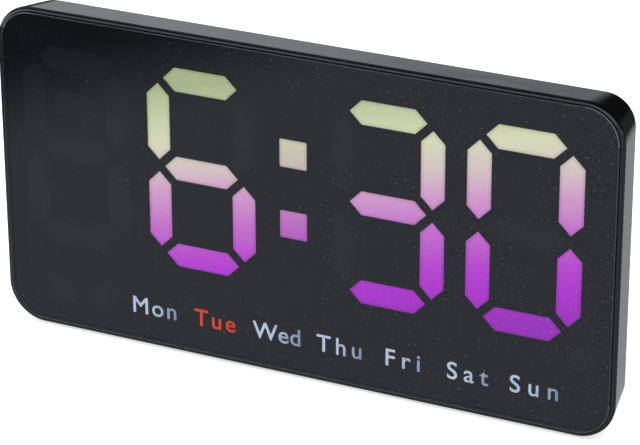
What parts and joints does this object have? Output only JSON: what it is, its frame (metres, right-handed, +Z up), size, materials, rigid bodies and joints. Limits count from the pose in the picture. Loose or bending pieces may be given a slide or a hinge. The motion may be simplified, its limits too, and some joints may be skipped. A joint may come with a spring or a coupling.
{
  "type": "digital desk clock",
  "caption": "Slim digital LED desk clock with a dark glossy front, large segment digits, back buttons, turn-open battery cap, wall keyholes and fold-out stand.",
  "frame": {"origin": "middle of the foot strip's underside, on the table, halfway through the body's depth", "axes": "+X to the right as seen from the front, +Y to the back, +Z up; the display faces -Y"},
  "size_m": [0.1698, 0.0459, 0.0884],
  "materials": {
    "housing": "satin",
    "cover": "fine texture",
    "lens": "polished, dark tint",
    "tape": "adhesive ring",
    "mask": "printed black",
    "gradient": "printed colour film",
    "diffuser": "milky",
    "reflector": "moulded white",
    "light_guide": "milky, glows",
    "led": "clear",
    "board": "solder mask",
    "chip": "moulded",
    "passive": "ceramic",
    "steel": "plated",
    "button": "satin",
    "plunger": "moulded",
    "rubber": "matt",
    "label": "bare foil"
  },
  "bodies": {
    "clock": {"front_frame": "housing", "lens_panel": "lens", "lens_tape": "tape", "mask_film": "mask", "gradient_film": "gradient", "diffuser_sheet": "diffuser", "segment_reflector": "reflector", "hour_tens_segments": "light_guide", "hour_segments": "light_guide", "minute_tens_segments": "light_guide", "minute_segments": "light_guide", "colon_dots": "light_guide", "weekday_windows": "light_guide", "status_windows": "light_guide", "main_board": "board", "segment_leds": "led", "legend_leds": "led", "board_screws": "steel", "clock_chip": "chip", "display_drivers": "chip", "power_regulator": "chip", "crystal": "steel", "chip_resistors": "passive", "chip_capacitors": "passive", "buzzer": "chip", "tact_switches": "chip", "usb_socket": "steel", "usb_tongue": "chip", "cell_holder": "chip", "cell_contacts": "steel", "coin_cell": "steel", "stand_pin": "steel", "foot_strip": "rubber", "rear_cover": "cover", "cover_screws": "steel", "rear_label": "label"},
    "mode_button_body": {"mode_button": "button", "mode_plunger": "plunger"},
    "alarm_button_body": {"alarm_button": "button", "alarm_plunger": "plunger"},
    "up_button_body": {"up_button": "button", "up_plunger": "plunger"},
    "down_button_body": {"down_button": "button", "down_plunger": "plunger"},
    "battery_cap_body": {"battery_cap": "cover"},
    "stand": {"stand_leg": "housing", "stand_pad": "rubber"}
  },
  "joints": [
    {"name": "mode_button_press", "type": "slide", "parent": "clock", "child": "mode_button_body", "axis": [0, -1, 0], "range_m": [0, 0.0005], "stiffness_N_per_m": 500, "springref_m": -0.0004},
    {"name": "alarm_button_press", "type": "slide", "parent": "clock", "child": "alarm_button_body", "axis": [0, -1, 0], "range_m": [0, 0.0005], "stiffness_N_per_m": 500, "springref_m": -0.0004},
    {"name": "up_button_press", "type": "slide", "parent": "clock", "child": "up_button_body", "axis": [0, -1, 0], "range_m": [0, 0.0005], "stiffness_N_per_m": 500, "springref_m": -0.0004},
    {"name": "down_button_press", "type": "slide", "parent": "clock", "child": "down_button_body", "axis": [0, -1, 0], "range_m": [0, 0.0005], "stiffness_N_per_m": 500, "springref_m": -0.0004},
    {"name": "battery_cap_turn", "type": "hinge", "parent": "clock", "child": "battery_cap_body", "pos_m": [0.058, 0.0067, 0.0365], "axis": [0, 1, 0], "range_deg": [0, 30]},
    {"name": "stand_fold", "type": "hinge", "parent": "clock", "child": "stand", "pos_m": [0, 0.0051, 0.009], "axis": [1, 0, 0], "range_deg": [0, 101.9]}
  ]
}
